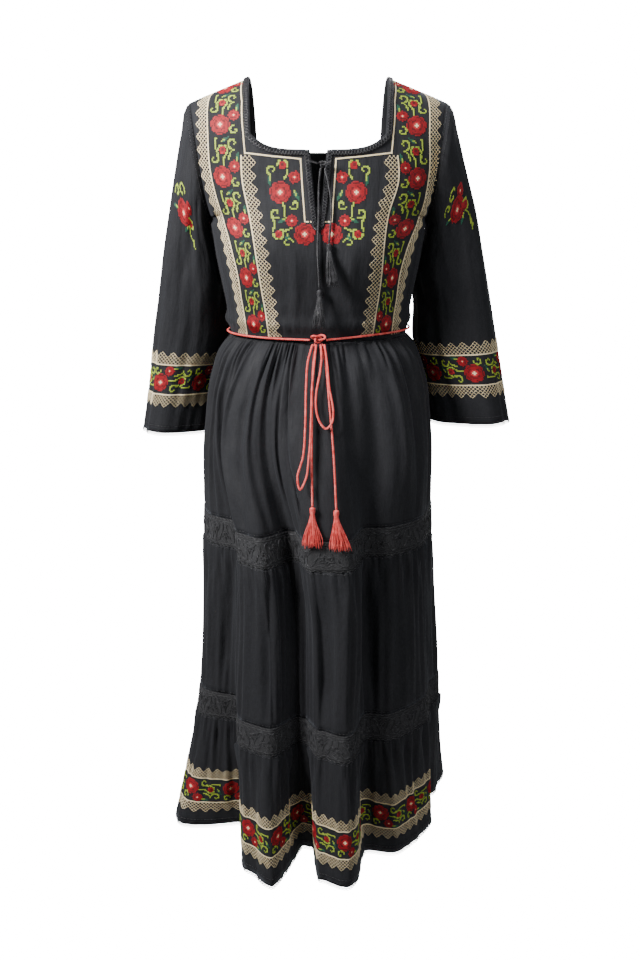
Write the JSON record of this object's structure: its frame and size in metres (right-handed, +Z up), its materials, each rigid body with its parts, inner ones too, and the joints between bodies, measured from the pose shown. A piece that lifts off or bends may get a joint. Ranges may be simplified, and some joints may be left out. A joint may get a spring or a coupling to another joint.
{
  "type": "peasant dress",
  "caption": "Long tiered peasant dress with a square slit neck, flared sleeves, lace inserts, embroidered bands, a corded belt and tasselled neck ties, hollow as worn",
  "frame": {"origin": "midway between the two neck points of the shoulder seams, where a hanger or the wearer's shoulders hold the dress", "axes": "+Z up along the length of the dress, front facing -Y, +X towards the wearer's left"},
  "size_m": [0.6625, 0.5135, 1.3442],
  "materials": {
    "black_cotton": "light plain-weave cotton, faintly creased",
    "black_lace": "cotton crochet lace",
    "black_cord": "twisted cotton cord",
    "coral_cord": "twisted viscose cord with a soft sheen"
  },
  "bodies": {
    "root": {"bodice_front": "black_cotton", "bodice_back": "black_cotton", "neck_binding": "black_cotton", "slit_binding": "black_cotton", "sleeve_right": "black_cotton", "sleeve_left": "black_cotton", "skirt_tier_1_front": "black_cotton", "skirt_tier_1_back": "black_cotton", "skirt_tier_2_front": "black_cotton", "skirt_tier_2_back": "black_cotton", "skirt_tier_3_front": "black_cotton", "skirt_tier_3_back": "black_cotton", "cuff_edging_right": "black_lace", "cuff_edging_left": "black_lace", "lace_band_1": "black_lace", "lace_band_2": "black_lace", "hem_edging": "black_lace", "belt_cord": "coral_cord", "belt_knot": "coral_cord", "belt_loop_right": "coral_cord", "belt_loop_left": "coral_cord", "belt_end_right": "coral_cord", "belt_end_left": "coral_cord", "belt_tassel_right": "coral_cord", "belt_tassel_left": "coral_cord", "neck_tie_knot": "black_cord", "neck_tie_yoke_right": "black_cord", "neck_tie_yoke_left": "black_cord", "neck_tie_right": "black_cord", "neck_tie_left": "black_cord", "neck_tassel_right": "black_cord", "neck_tassel_left": "black_cord"}
  },
  "joints": []
}
